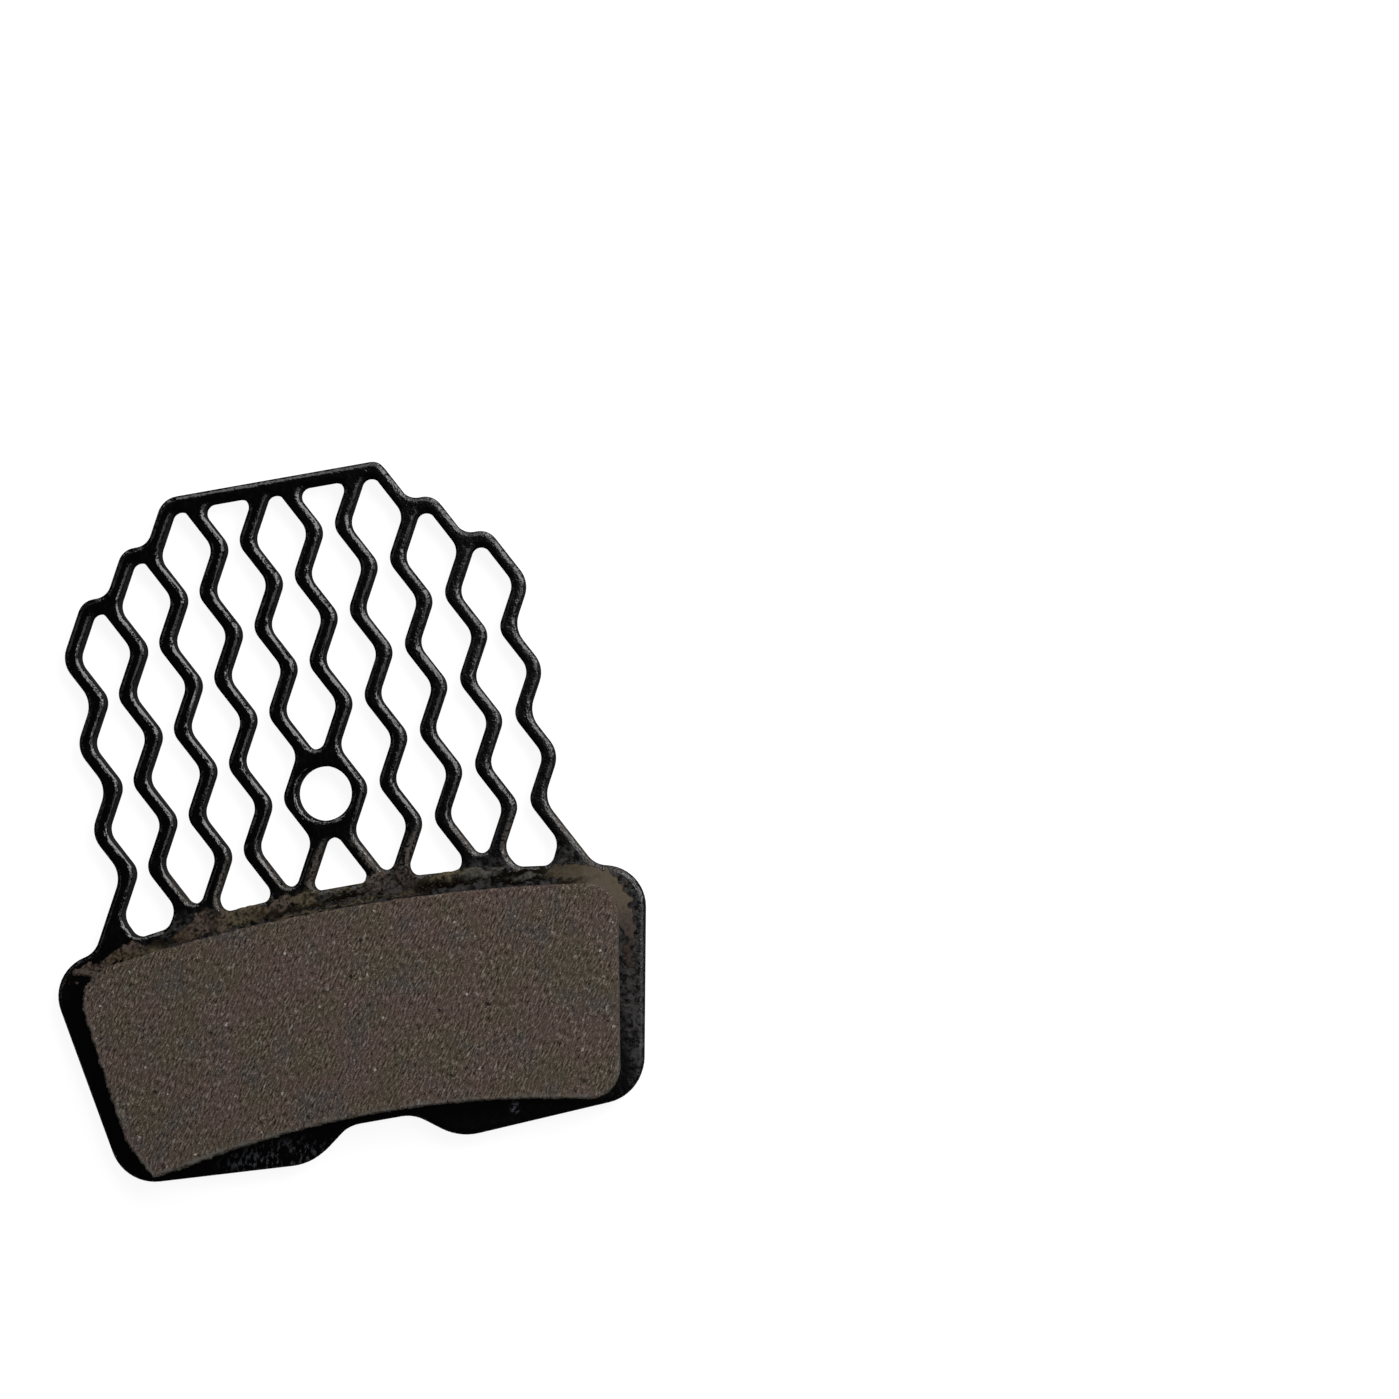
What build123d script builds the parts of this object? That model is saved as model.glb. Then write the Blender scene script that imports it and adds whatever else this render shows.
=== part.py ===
from build123d import *
import math
import os

# A disc brake pad that lies on its back: X runs across the pad, Y points away from the rotor's axle and Z points
# up, out of the friction face. The origin is the pin hole's centre, on the back face. Lengths are millimetres.

# Thicknesses and broken edges
plate_thickness = 1.8
lining_thickness = 2.2
face_edge_bevel = 0.28
lining_edge_bevel = 0.1

# Hole for the retaining pin
pin_hole_diameter = 3.75

# Zigzag lattice: its bends lie on rows counted from the pin hole, and its gaps are counted from the middle
strut_pitch = 3.33
strut_width = 1.04
row_step = 3.0
bend_offset = 0.8
pair_count = 4
outer_top_row = 4
bar_row = 7
root_row = -2
ring_row = 1
bar_height = 0.88
step_cap = 0.94
bend_radius = 1.3
outline_bend_radius = 1.9
closed_end_radius = 0.65
root_radius = 0.85
bar_corner_radius = 0.65
step_corner_radius = 0.65
step_hollow_radius = 1.2

# Plate that carries the lining
plate_width = 40.72
plate_height = 18.32
root_depth = 0.49
plate_top_radius = 96.0
plate_taper = 10.5
plate_corner_radius = 3.1
shoulder_drop = 1.55
shoulder_slope = 13.0
shoulder_radius = 1.8
lobe_slope = 3.3
lobe_inner_half_width = 5.09
lobe_radius = 3.8
notch_depth = 2.12
notch_half_width = 2.27
notch_radius = 2.5

# Friction lining
lining_ledge = 1.48
lining_height = 14.08
lining_top_radius = 115.0
lining_bottom_radius = 68.0
lining_half_width = 18.5
lining_width_depth = 3.53
lining_taper = 9.3
lining_corner_radius = 2.1
worn_half_width = 18.45
worn_taper = 8.4
worn_corner_radius = 2.6
worn_tip_height = 3.1
worn_tip_length = 2.98
worn_tip_inset = 0.93
worn_tip_rise = 0.41
worn_bend_radius = 3.0
worn_tip_radius = 0.25

# Share of an edge that the round corners at its two ends may take up
longest_rounding = 0.98

# Values that follow from the sizes above
bend_slope = 2 * bend_offset / row_step
wide_half_gap = (strut_pitch - strut_width) / 2 + bend_offset
narrow_half_gap = wide_half_gap - 2 * bend_offset
closing_rise = wide_half_gap / bend_slope
outer_edge = (pair_count + 0.5) * strut_pitch + strut_width / 2
lowest_bend = (root_row + 1) * row_step
bar_bottom = bar_row * row_step + step_cap - bar_height
plate_top = root_row * row_step - root_depth
lobe_bottom = plate_top - plate_height
lining_top = plate_top - lining_ledge
lining_bottom = lining_top - lining_height


def is_wide(gap, row):
    """True where a gap is wide: neighbouring gaps are wide on alternate rows."""
    return (row - gap) % 2 == 0


def top_wide_row(gap):
    """The highest row on which a gap is wide; gaps reach a row higher with each step inwards, up to the bar."""
    row = min(bar_row, outer_top_row + pair_count - gap)
    return row if is_wide(gap, row) else row - 1


def arc_height(x, crest, radius):
    """Height at x of an arc with its crest on X = 0."""
    return crest - radius + math.sqrt(radius**2 - x**2)


def rounded_face(corners):
    """A filled outline through corners given as x, y and radius, each radius limited by the edges beside it."""
    count = len(corners)
    points = [Vector(x, y) for x, y, radius in corners]
    edges = [points[(index + 1) % count] - points[index] for index in range(count)]
    turns = [edges[index - 1].get_angle(edges[index]) for index in range(count)]
    reach = [corners[index][2] * math.tan(math.radians(turns[index] / 2)) for index in range(count)]
    shares = []
    for index, edge in enumerate(edges):
        needed = reach[index] + reach[(index + 1) % count]
        room = longest_rounding * edge.length
        shares.append(room / needed if needed > room else 1)
    radii = [corners[index][2] * min(shares[index - 1], shares[index]) for index in range(count)]
    return make_face(FilletPolyline(*points, radius=radii, close=True))


def gap_face(gap, low_row, high_row):
    """One lattice gap on the +X side: it runs onto the plate or up to the bar there, and closes to a V elsewhere."""
    middle = gap * strut_pitch
    under_bar = high_row == bar_row
    last_row = bar_row - 1 if under_bar else high_row
    bends = [
        (wide_half_gap if is_wide(gap, row) else narrow_half_gap, row * row_step, bend_radius)
        for row in range(low_row, last_row + 1)
    ]
    low_end = [(0, low_row * row_step - closing_rise, closed_end_radius)]
    high_end = [(0, high_row * row_step + closing_rise, closed_end_radius)]
    if low_row == root_row:
        root_rise = low_row * row_step - arc_height(middle, plate_top, plate_top_radius)
        half = wide_half_gap - root_rise * bend_slope
        low_end = [
            (side * half, arc_height(middle + side * half, plate_top, plate_top_radius), root_radius)
            for side in (-1, 1)
        ]
    if under_bar:
        half = narrow_half_gap + (bar_bottom - last_row * row_step) * bend_slope
        high_end = [(side * half, bar_bottom, bar_corner_radius) for side in (1, -1)]
    far_side = [(-half, height, radius) for half, height, radius in reversed(bends)]
    return rounded_face([(middle + x, y, radius) for x, y, radius in low_end + bends + high_end + far_side])


def lattice_gaps():
    """Every gap of the lattice: two above and below the ring for the pin, and mirrored pairs beside them."""
    faces = [gap_face(0, ring_row + 1, top_wide_row(0)), gap_face(0, root_row, root_row)]
    for gap in range(1, pair_count + 1):
        low_row = root_row if is_wide(gap, root_row) else root_row + 1
        face = gap_face(gap, low_row, top_wide_row(gap))
        faces += [face, mirror(face, about=Plane.YZ)]
    return faces


def lattice_corners():
    """The lattice's outer edge on the +X side, from its lowest bend up to the end of the top bar."""
    corners = []
    first_step = top_wide_row(pair_count)
    for row in range(root_row + 1, first_step + 1):
        swing = bend_offset if is_wide(pair_count, row) else -bend_offset
        corners.append((outer_edge + swing, row * row_step, outline_bend_radius))
    for row in range(first_step, bar_row):
        edge = outer_edge + bend_offset - (row - first_step) * strut_pitch
        cap = (row + 1) * row_step + step_cap
        corners.append((edge - (row_step + step_cap) * bend_slope, cap, step_corner_radius))
        if row + 1 < bar_row:
            corners.append((edge - strut_pitch - step_cap * bend_slope, cap, step_hollow_radius))
    return corners


def plate_corners():
    """The plate's edge on the +X side, from the notch over the lobe and up the tapering side to the lattice."""
    lean_x = math.cos(math.radians(plate_taper))
    lean_y = math.sin(math.radians(plate_taper))
    fall = math.tan(math.radians(shoulder_slope))
    lobe_rise = math.tan(math.radians(lobe_slope))

    # The outermost strut flares out below its lowest bend until it meets the shoulder
    root_y = plate_top - shoulder_drop
    root_x = outer_edge - bend_offset + (lowest_bend - root_y) * bend_slope

    # The upper corner's arc touches the full width, and the tapering side touches that arc
    centre_x = plate_width / 2 - plate_corner_radius
    arc_drop = plate_corner_radius / math.cos(math.radians(shoulder_slope))
    centre_y = root_y - fall * (centre_x - root_x) - arc_drop
    side = plate_corner_radius + centre_x * lean_x - centre_y * lean_y
    top_x = (side + (root_y + fall * root_x) * lean_y) / (lean_x + fall * lean_y)
    top_y = root_y - fall * (top_x - root_x)
    lobe_level = lobe_bottom - lobe_rise * lobe_inner_half_width
    low_x = (side + lobe_level * lean_y) / (lean_x - lobe_rise * lean_y)
    return [
        (notch_half_width, lobe_bottom + notch_depth, notch_radius),
        (lobe_inner_half_width, lobe_bottom, lobe_radius),
        (low_x, lobe_level + lobe_rise * low_x, plate_corner_radius),
        (top_x, top_y, plate_corner_radius),
        (root_x, root_y, shoulder_radius),
    ]


def back_plate():
    """The steel plate with its lattice and pin hole, its front edges broken all round."""
    half = plate_corners() + lattice_corners()
    blank = rounded_face(half + [(-x, y, radius) for x, y, radius in reversed(half)])
    plate = extrude(blank - lattice_gaps() - Circle(pin_hole_diameter / 2), plate_thickness)
    return chamfer(plate.faces().sort_by(Axis.Z)[-1].edges(), face_edge_bevel)


def side_meets_arc(half_width, taper, crest, radius):
    """The point where a tapering side of the lining on +X meets an arc with its crest on X = 0."""
    run_x = math.sin(math.radians(taper))
    run_y = math.cos(math.radians(taper))
    y = lining_top - lining_width_depth
    rise = y - crest + radius
    along = half_width * run_x + rise * run_y
    run = math.sqrt(along**2 - half_width**2 - rise**2 + radius**2) - along
    return (half_width + run * run_x, y + run * run_y)


def round_corners(face, radius, *points):
    """Round the corners of a face that lie nearest to the given points."""
    corners = [face.vertices().sort_by_distance(Vector(x, y))[0] for x, y in points]
    return fillet(corners, radius)


def lining_outline():
    """The lining's outline: two curved edges, tapering sides, and the worn side's lower corner left as a tip."""
    top_right = side_meets_arc(lining_half_width, lining_taper, lining_top, lining_top_radius)
    low_right = side_meets_arc(lining_half_width, lining_taper, lining_bottom, lining_bottom_radius)
    worn_x, worn_y = side_meets_arc(worn_half_width, worn_taper, lining_top, lining_top_radius)
    top_left = (-worn_x, worn_y)
    low_x, low_y = side_meets_arc(worn_half_width, worn_taper, lining_bottom, lining_bottom_radius)
    bend = (-low_x - worn_tip_height * math.tan(math.radians(worn_taper)), low_y + worn_tip_height)
    tip = (worn_tip_inset - low_x, low_y + worn_tip_rise)
    arc_end_x = worn_tip_length - low_x
    arc_end = (arc_end_x, arc_height(arc_end_x, lining_bottom, lining_bottom_radius))
    upper_edge = ThreePointArc(top_left, (0, lining_top), top_right)
    right_edge = Line(top_right, low_right)
    lower_edge = ThreePointArc(low_right, (0, lining_bottom), arc_end)
    left_edge = Polyline(arc_end, tip, bend, top_left)
    face = make_face(upper_edge + right_edge + lower_edge + left_edge)
    face = round_corners(face, lining_corner_radius, top_right, low_right)
    face = round_corners(face, worn_corner_radius, top_left)
    face = round_corners(face, worn_bend_radius, bend)
    return round_corners(face, worn_tip_radius, tip)


def friction_lining():
    """The moulded friction block, seated on the plate's face, with its ground edge slightly broken."""
    block = extrude(Pos(0, 0, plate_thickness) * lining_outline(), lining_thickness)
    return chamfer(block.faces().sort_by(Axis.Z)[-1].edges(), lining_edge_bevel)


os.makedirs("parts", exist_ok=True)
for name, piece in (("back_plate", back_plate()), ("friction_lining", friction_lining())):
    export_step(piece, f"parts/{name}.step")
    print(name, round(piece.volume, 1), piece.bounding_box())
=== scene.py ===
"""Dress a bicycle disc brake pad: its powder-coated lattice plate, ground lining and mould flash."""
import logging
import math
from collections.abc import Callable, Iterator
from contextlib import contextmanager
from dataclasses import asdict, dataclass, field
from enum import Enum

import bmesh
import bpy
from mathutils import Euler, Matrix, Vector, noise
from mathutils.kdtree import KDTree


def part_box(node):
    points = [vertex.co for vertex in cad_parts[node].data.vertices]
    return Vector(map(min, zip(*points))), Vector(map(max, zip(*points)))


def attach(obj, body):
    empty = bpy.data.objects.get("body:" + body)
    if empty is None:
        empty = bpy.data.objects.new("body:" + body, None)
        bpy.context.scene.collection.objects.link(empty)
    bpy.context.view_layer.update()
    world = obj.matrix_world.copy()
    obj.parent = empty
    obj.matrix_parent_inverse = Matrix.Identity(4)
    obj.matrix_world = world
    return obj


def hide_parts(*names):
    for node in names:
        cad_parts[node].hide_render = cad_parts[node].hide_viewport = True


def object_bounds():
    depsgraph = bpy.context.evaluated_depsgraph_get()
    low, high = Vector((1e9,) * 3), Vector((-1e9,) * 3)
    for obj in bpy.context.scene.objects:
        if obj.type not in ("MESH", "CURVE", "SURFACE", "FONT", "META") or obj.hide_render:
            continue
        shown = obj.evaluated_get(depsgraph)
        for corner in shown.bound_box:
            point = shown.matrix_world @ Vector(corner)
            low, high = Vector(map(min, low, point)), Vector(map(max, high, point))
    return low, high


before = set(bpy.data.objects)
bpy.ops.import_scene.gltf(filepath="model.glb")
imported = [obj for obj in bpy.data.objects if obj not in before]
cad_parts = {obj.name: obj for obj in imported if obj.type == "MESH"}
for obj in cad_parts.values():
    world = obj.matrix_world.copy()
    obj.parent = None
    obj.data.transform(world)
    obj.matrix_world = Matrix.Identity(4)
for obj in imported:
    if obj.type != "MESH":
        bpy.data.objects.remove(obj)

CAD_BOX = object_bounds()
LOG = logging.getLogger("brake_pad")
MM = 0.001
WELD = 0.0005 * MM
FLAT = math.radians(0.5)
LEVEL = 0.99

Colour = tuple[float, float, float, float]
Range = tuple[float, float]
Piece = bpy.types.Object
Tree = bpy.types.NodeTree
Socket = bpy.types.NodeSocket
Value = float | Colour | tuple[float, float, float] | Socket


class Slot(Enum):
    """Material slots of the record."""

    PLATE = "back_plate"
    LINING = "friction_lining"


class Part(Enum):
    """Kinds of mesh element that can be picked in edit mode."""

    POINT = "VERT"
    EDGE = "EDGE"
    FACE = "FACE"


class Tone(Enum):
    """Tones of the flash, from clean to soiled, each with the share of it that is cracked. The darkest is
    dark soil, and also painted shade along the lining's upper edge.
    """

    TAN = (0.108, 0.087, 0.064, 0.05)
    BUFF = (0.072, 0.058, 0.040, 0.1)
    GREY = (0.080, 0.075, 0.064, 0.4)
    CLAY = (0.074, 0.058, 0.050, 1.0)
    OLIVE = (0.076, 0.064, 0.040, 0.8)
    MAUVE = (0.080, 0.060, 0.050, 0.9)
    BROWN = (0.070, 0.051, 0.035, 0.7)
    ROSE = (0.068, 0.052, 0.045, 0.2)
    UMBER = (0.042, 0.032, 0.028, 0.3)
    DUSK = (0.040, 0.032, 0.029, 1.0)
    # Dark soil, and painted shade where it lies in thin bands along the lining's upper edge.
    SOOT = (0.004, 0.003, 0.002, 0.5)


# Modelling helpers

def make_active(piece: Piece) -> None:
    """Leave one piece selected and active, and nothing else."""
    bpy.ops.object.select_all(action="DESELECT")
    piece.select_set(True)
    bpy.context.view_layer.objects.active = piece


@contextmanager
def editing(piece: Piece) -> Iterator[None]:
    """Keep a piece in edit mode while its mesh is shaped.

    Args:
        piece: The piece to edit.
    """
    make_active(piece)
    bpy.ops.object.mode_set(mode="EDIT")
    yield
    bpy.ops.object.mode_set(mode="OBJECT")


def pick(piece: Piece, part: Part, test: Callable[..., bool]) -> None:
    """Select the points, edges or faces of an edited piece that pass a test, and only those.

    Args:
        piece: The piece in edit mode.
        part: The kind of element to pick.
        test: Says whether an element is wanted.
    """
    bpy.ops.mesh.select_mode(type=part.value)
    bpy.ops.mesh.select_all(action="DESELECT")
    mesh = bmesh.from_edit_mesh(piece.data)
    elements = {Part.POINT: mesh.verts, Part.EDGE: mesh.edges, Part.FACE: mesh.faces}[part]
    for element in [element for element in elements if test(element)]:
        element.select_set(True)
    mesh.select_flush_mode()
    bmesh.update_edit_mesh(piece.data)


def copy_of_node(node: str, name: str) -> Piece:
    """Start a piece from a copy of a CAD node, with its triangles joined up and its walls made whole.

    Args:
        node: The CAD node.
        name: The new piece's name.

    Returns:
        The new piece.
    """
    piece = bpy.data.objects.new(name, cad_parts[node].data.copy())
    piece.data.name = name
    bpy.context.scene.collection.objects.link(piece)
    with editing(piece):
        bpy.ops.mesh.select_all(action="SELECT")
        bpy.ops.mesh.remove_doubles(threshold=WELD)
        pick(piece, Part.FACE, lambda part: part.normal.z < LEVEL)
        bpy.ops.mesh.dissolve_limited(angle_limit=FLAT)
    return piece


def apply_modifier(piece: Piece, kind: str, **settings: object) -> None:
    """Give a piece a modifier and apply it.

    Args:
        piece: The piece to change.
        kind: Blender's name for the modifier.
        settings: The modifier's properties.
    """
    make_active(piece)
    bpy.ops.object.modifier_add(type=kind)
    modifier = piece.modifiers[-1]
    for name, value in settings.items():
        setattr(modifier, name, value)
    bpy.ops.object.modifier_apply(modifier=modifier.name)


def weigh(piece: Piece, name: str, weight: Callable[[bpy.types.MeshVertex], float]) -> str:
    """Give a piece a vertex group whose weights follow from each point's place or normal.

    Args:
        piece: The piece to weigh.
        name: The group's name.
        weight: Gives a point's weight, from 0 to 1.

    Returns:
        The group's name.
    """
    group = piece.vertex_groups.new(name=name)
    for vertex in piece.data.vertices:
        group.add([vertex.index], weight(vertex), "REPLACE")
    return name


def roughen(piece: Piece, size: float, depth: float, group: str, turn: float = 0.0,
            stretch: float = 1.0) -> None:
    """Push a piece's surface in and out by a cloudy pattern.

    Args:
        piece: The piece to roughen.
        size: The pattern's size in metres.
        depth: The whole range of the push in metres.
        group: The vertex group that is pushed.
        turn: The direction in which the pattern is stretched, in radians from +X.
        stretch: How many times longer the pattern is in that direction.
    """
    bpy.ops.object.empty_add(rotation=(0, 0, turn))
    guide = bpy.context.object
    guide.scale = (size * stretch, size, size)
    bpy.context.view_layer.update()
    clouds = bpy.data.textures.new("clouds", "CLOUDS")
    clouds.noise_scale = 1.0
    clouds.noise_depth = 2
    apply_modifier(piece, "DISPLACE", texture=clouds, texture_coords="OBJECT", texture_coords_object=guide,
                   strength=depth, mid_level=0.5, vertex_group=group)
    bpy.data.objects.remove(guide)
    bpy.data.textures.remove(clouds)


def hand_over(piece: Piece, slot: Slot, material: bpy.types.Material, *nodes: str) -> None:
    """Dress a finished piece, seat it on the pad and report it.

    Args:
        piece: The finished piece.
        slot: The record's slot; not used.
        material: Its material.
        nodes: The CAD nodes it stands for.
    """
    piece.data.materials.clear()
    piece.data.materials.append(material)
    piece.vertex_groups.clear()
    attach(piece, "root")
    if nodes:
        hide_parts(*nodes)
    LOG.info("%s: %d faces", piece.name, len(piece.data.polygons))


# Shading helpers

@dataclass(frozen=True)
class Ramp:
    """A soft change of a mask from none to full.

    Attributes:
        start: The value at which the mask starts.
        full: The value at which it is full, which may be the smaller one.
    """

    start: Value
    full: Value


@dataclass(frozen=True)
class Zone:
    """A soft-edged stretch of the pad; lengths are in millimetres.

    Attributes:
        across: The ramps at its left and right sides.
        along: The ramps at its top and foot.
    """

    across: tuple[Ramp, ...]
    along: tuple[Ramp, ...]


@dataclass(frozen=True)
class Spot:
    """A soft-edged oval on the pad; lengths are in millimetres.

    Attributes:
        x: Its middle across the pad.
        y: Its middle along the pad.
        reach_x: Its half width.
        reach_y: Its half height.
    """

    x: float
    y: float
    reach_x: float
    reach_y: float


@dataclass(frozen=True)
class Patch:
    """Soft patches of a cloudy pattern.

    Attributes:
        scale: How many waves of the pattern lie in a millimetre.
        low: The pattern's value at which a patch starts.
        high: The value at which it is full.
    """

    scale: float
    low: float
    high: float


@dataclass(frozen=True)
class Grain:
    """Single round grains.

    Attributes:
        scale: How many cells lie in a millimetre.
        radius: A grain's largest radius, as a share of a cell.
        share: The share of the cells that hold one.
    """

    scale: float
    radius: float
    share: float


@dataclass(frozen=True)
class Relief:
    """A fine height pattern.

    Attributes:
        scale: How many waves of the pattern lie in a millimetre.
        lumps: The weight of its round lumps.
    """

    scale: float
    lumps: float


class Wiring:
    """Short calls that place nodes in one node tree and link them."""

    def __init__(self, tree: Tree) -> None:
        """Work in a tree that is already there."""
        self.tree = tree

    def node(self, kind: str, inputs: dict[str | int, Value] | None = None,
             **settings: object) -> bpy.types.Node:
        """Place a node.

        Args:
            kind: Blender's name for the node, after "ShaderNode".
            inputs: Values or sockets for its inputs.
            settings: The node's properties.

        Returns:
            The node.
        """
        node = self.tree.nodes.new("ShaderNode" + kind)
        for name, value in settings.items():
            setattr(node, name, value)
        for name, value in (inputs or {}).items():
            if isinstance(value, Socket):
                self.tree.links.new(value, node.inputs[name])
            else:
                node.inputs[name].default_value = value
        return node

    def math(self, operation: str, first: Value, second: Value = 0.0) -> Socket:
        """Combine two numbers."""
        return self.node("Math", {0: first, 1: second}, operation=operation).outputs[0]

    def both(self, first: Value, *others: Value) -> Socket:
        """Keep what lies in every one of some masks, or weaken a mask by a number."""
        for other in others:
            first = self.math("MULTIPLY", first, other)
        return first

    def either(self, first: Value, second: Value) -> Socket:
        """Keep what lies in one of two masks."""
        return self.math("MAXIMUM", first, second)

    def step(self, value: Value, ramp: Ramp) -> Socket:
        """Change smoothly from 0 at a ramp's start to 1 where it is full."""
        inputs = {"Value": value, "From Min": ramp.start, "From Max": ramp.full}
        return self.node("MapRange", inputs, interpolation_type="SMOOTHSTEP").outputs[0]

    def span(self, value: Value, low: float, high: float) -> Socket:
        """Spread a mask over the range from low to high."""
        return self.node("MapRange", {"Value": value, "To Min": low, "To Max": high}).outputs[0]

    def blend(self, mask: Value, under: Value, over: Value) -> Socket:
        """Lay one colour over another through a mask."""
        return self.node("Mix", {0: mask, 6: under, 7: over}, data_type="RGBA").outputs[2]

    def millimetres(self) -> Socket:
        """Object coordinates in millimetres."""
        place = self.node("TexCoord").outputs["Object"]
        return self.node("Mapping", {"Vector": place, "Scale": (1 / MM,) * 3}).outputs[0]

    def along(self, place: Socket, turn: float, stretch: float) -> Socket:
        """Turn a pattern's coordinates and stretch the pattern in that direction."""
        turned = self.node("Mapping", {"Vector": place, "Rotation": (0, 0, -turn)}).outputs[0]
        return self.node("Mapping", {"Vector": turned, "Scale": (1 / stretch, 1, 1)}).outputs[0]

    def axes(self, vector: Socket) -> bpy.types.bpy_prop_collection:
        """Split a vector into its X, Y and Z."""
        return self.node("SeparateXYZ", {"Vector": vector}).outputs

    def zone(self, place: Socket, zone: Zone) -> Socket:
        """Mark a soft-edged stretch of the pad."""
        axes = self.axes(place)
        across = (self.step(axes["X"], ramp) for ramp in zone.across)
        return self.both(*across, *(self.step(axes["Y"], ramp) for ramp in zone.along))

    def spot(self, place: Socket, spot: Spot) -> Socket:
        """Mark a soft-edged oval spot, whatever the height."""
        scale = (1 / spot.reach_x, 1 / spot.reach_y, 0)
        shift = (-spot.x / spot.reach_x, -spot.y / spot.reach_y, 0)
        inside = self.node("Mapping", {"Vector": place, "Scale": scale, "Location": shift}).outputs[0]
        apart = self.node("VectorMath", {0: inside}, operation="LENGTH").outputs["Value"]
        return self.step(apart, Ramp(1.0, 0.4))

    def group(self, effect: Tree, place: Socket, values: Patch | Grain | Relief) -> Socket:
        """Place a shared effect with its own values, which bear the names of its inputs."""
        node = self.node("Group", {"Vector": place}, node_tree=effect)
        for name, value in asdict(values).items():
            node.inputs[name.capitalize()].default_value = value
        return node.outputs[0]

    def surface(self, shader: bpy.types.Node, colour: Socket, height: Socket, bump: float,
                strength: Value = 1.0) -> None:
        """Give a shader its colour and its bumps.

        Args:
            shader: The material's Principled shader.
            colour: Its colour.
            height: The pattern of its bumps.
            bump: The bumps' height in metres.
            strength: How strongly they show.
        """
        self.tree.links.new(colour, shader.inputs["Base Color"])
        bumps = self.node("Bump", {"Strength": strength, "Distance": bump, "Height": height})
        self.tree.links.new(bumps.outputs[0], shader.inputs["Normal"])


def new_effect(name: str, *numbers: str) -> tuple[Wiring, dict[str, Value], dict[str, Socket], Socket]:
    """Start a shader node group that reads coordinates and some numbers and gives one value.

    Args:
        name: The group's name.
        numbers: Names of its number inputs, after the pattern's scale.

    Returns:
        The wiring, the inputs of a pattern, the group's input sockets by name, and its output.
    """
    tree = bpy.data.node_groups.new(name, "ShaderNodeTree")
    tree.interface.new_socket("Vector", in_out="INPUT", socket_type="NodeSocketVector")
    for number in ("Scale", *numbers):
        tree.interface.new_socket(number, in_out="INPUT", socket_type="NodeSocketFloat")
    tree.interface.new_socket("Result", in_out="OUTPUT", socket_type="NodeSocketFloat")
    inside = tree.nodes.new("NodeGroupInput").outputs
    pattern = {"Vector": inside["Vector"], "Scale": inside["Scale"]}
    return Wiring(tree), pattern, inside, tree.nodes.new("NodeGroupOutput").inputs["Result"]


@dataclass(frozen=True)
class Effects:
    """Effects that the finishes share or use more than once.

    Attributes:
        grain: A fine height pattern.
        patches: Soft-edged patches of another tone.
        scatter: Single round grains, in a share of the cells.
    """

    grain: Tree
    patches: Tree
    scatter: Tree


def make_effects() -> Effects:
    """Build the shared effects once.

    Returns:
        The node groups.
    """
    wiring, pattern, inside, result = new_effect("grain", "Lumps")
    fine = wiring.node("TexNoise", {**pattern, "Detail": 1.0})
    cells = wiring.node("TexVoronoi", pattern, feature="SMOOTH_F1")
    lumps = wiring.both(cells.outputs["Distance"], inside["Lumps"])
    wiring.tree.links.new(wiring.math("SUBTRACT", fine.outputs[0], lumps), result)
    grain = wiring.tree

    wiring, pattern, inside, result = new_effect("patches", "Low", "High")
    cloud = wiring.node("TexNoise", {**pattern, "Detail": 4.0})
    wiring.tree.links.new(wiring.step(cloud.outputs[0], Ramp(inside["Low"], inside["High"])), result)
    patches = wiring.tree

    wiring, pattern, inside, result = new_effect("scatter", "Radius", "Share")
    cells = wiring.node("TexVoronoi", pattern)
    chance = wiring.node("SeparateColor", {"Color": cells.outputs["Color"]})
    radius = wiring.both(inside["Radius"], wiring.span(chance.outputs[1], 0.5, 1.0))
    limits = {"Value": cells.outputs["Distance"], "From Min": radius, "From Max": wiring.both(radius, 0.6)}
    disc = wiring.node("MapRange", limits)
    chosen = wiring.math("LESS_THAN", chance.outputs[0], inside["Share"])
    wiring.tree.links.new(wiring.both(disc.outputs[0], chosen), result)
    return Effects(grain, patches, wiring.tree)


def new_material(name: str) -> tuple[bpy.types.Material, Wiring, bpy.types.Node]:
    """Start a material.

    Args:
        name: The material's name.

    Returns:
        The material, its wiring and its Principled shader.
    """
    material = bpy.data.materials.new(name)
    material.use_nodes = True
    return material, Wiring(material.node_tree), material.node_tree.nodes["Principled BSDF"]


# Finishes

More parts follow.
